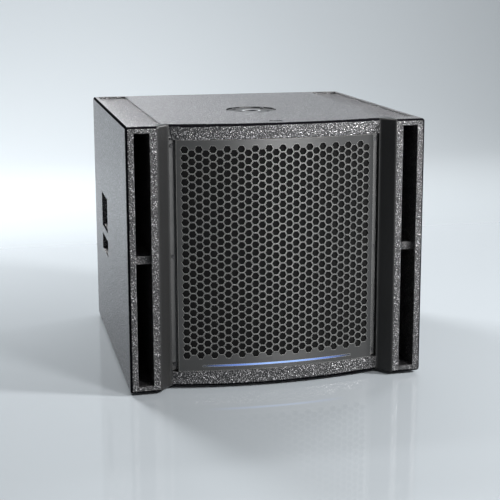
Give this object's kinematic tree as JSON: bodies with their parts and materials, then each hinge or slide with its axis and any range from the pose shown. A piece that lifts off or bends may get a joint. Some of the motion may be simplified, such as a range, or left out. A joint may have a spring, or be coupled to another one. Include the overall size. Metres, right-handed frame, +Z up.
{
  "type": "subwoofer cabinet",
  "caption": "Bass-reflex subwoofer cabinet: slot port down each side, bowed hexagon-perforated grille, recessed handles, pole socket on top and stacking skids.",
  "frame": {"origin": "centre of the footprint, on the floor under the skids", "axes": "+X to the right seen from the front, +Y from the grille to the rear panel, +Z up"},
  "size_m": [0.685, 0.683, 0.606],
  "materials": {
    "painted_ply": "black textured polyurea paint on birch plywood",
    "cheek_black": "smooth satin black lacquer",
    "bare_ply": "unpainted birch plywood",
    "grille_steel": "black powder coat, slight gloss",
    "grille_foam": "open-cell acoustic foam",
    "lamp_acrylic": "clear acrylic lit blue from behind",
    "black_plastic": "moulded black plastic, fine grain",
    "skid_plastic": "hard-wearing black polyethylene",
    "zinc_steel": "bright zinc plate",
    "black_screw": "black oxide steel",
    "plate_steel": "black powder coat",
    "socket_plastic": "moulded black nylon",
    "rubber": "matt black",
    "cable": "black jacket",
    "polyester_pad": "needled polyester wadding",
    "basket_cast": "cast, black stove enamel",
    "cone_paper": "ribbed paper pulp, dark",
    "surround_cloth": "doped cloth",
    "spider_cloth": "resin-dipped cotton",
    "former_fibre": "glass-fibre tube",
    "copper": "enamelled copper wire",
    "motor_steel": "machined steel",
    "ferrite": "sintered ferrite"
  },
  "bodies": {
    "cabinet_body": {"top_panel": "painted_ply", "bottom_panel": "painted_ply", "left_side_panel": "painted_ply", "right_side_panel": "painted_ply", "rear_panel": "painted_ply", "driver_baffle": "bare_ply", "left_port_wall": "painted_ply", "right_port_wall": "painted_ply", "left_port_brace": "painted_ply", "right_port_brace": "painted_ply", "upper_bow_rail": "painted_ply", "lower_bow_rail": "painted_ply", "left_cheek": "cheek_black", "right_cheek": "cheek_black", "left_grille_batten": "painted_ply", "right_grille_batten": "painted_ply", "baffle_cleats": "bare_ply", "rear_cleats": "bare_ply", "window_brace": "bare_ply", "grille": "grille_steel", "grille_foam": "grille_foam", "grille_screws": "black_screw", "lamp_strip": "lamp_acrylic", "lamp_housing": "black_plastic", "left_skid": "skid_plastic", "right_skid": "skid_plastic", "skid_screws": "zinc_steel", "pole_socket": "zinc_steel", "pole_socket_screws": "black_screw", "pole_block": "bare_ply", "blanking_plug": "black_plastic", "left_handle_cup": "black_plastic", "right_handle_cup": "black_plastic", "handle_screws": "zinc_steel", "connector_gasket": "rubber", "connector_plate": "plate_steel", "speaker_sockets": "socket_plastic", "socket_screws": "black_screw", "plate_screws": "black_screw", "driver_lead": "cable", "lead_clip": "black_plastic", "rear_lining": "polyester_pad", "floor_lining": "polyester_pad", "driver_basket": "basket_cast", "driver_gasket": "rubber", "surround": "surround_cloth", "spider": "spider_cloth", "top_plate": "motor_steel", "magnet": "ferrite", "yoke": "motor_steel", "driver_bolts": "black_screw", "driver_tee_nuts": "zinc_steel", "terminal_block": "black_plastic", "tinsel_leads": "copper"},
    "cone_body": {"cone": "cone_paper", "dust_cap": "cone_paper", "coil_former": "former_fibre", "coil_winding": "copper"}
  },
  "joints": [
    {"name": "cone_slide", "type": "slide", "parent": "cabinet_body", "child": "cone_body", "axis": [0, -1, 0], "range_m": [-0.009, 0.009], "stiffness_N_per_m": 5500, "deforming": ["surround", "spider", "tinsel_leads"]}
  ]
}
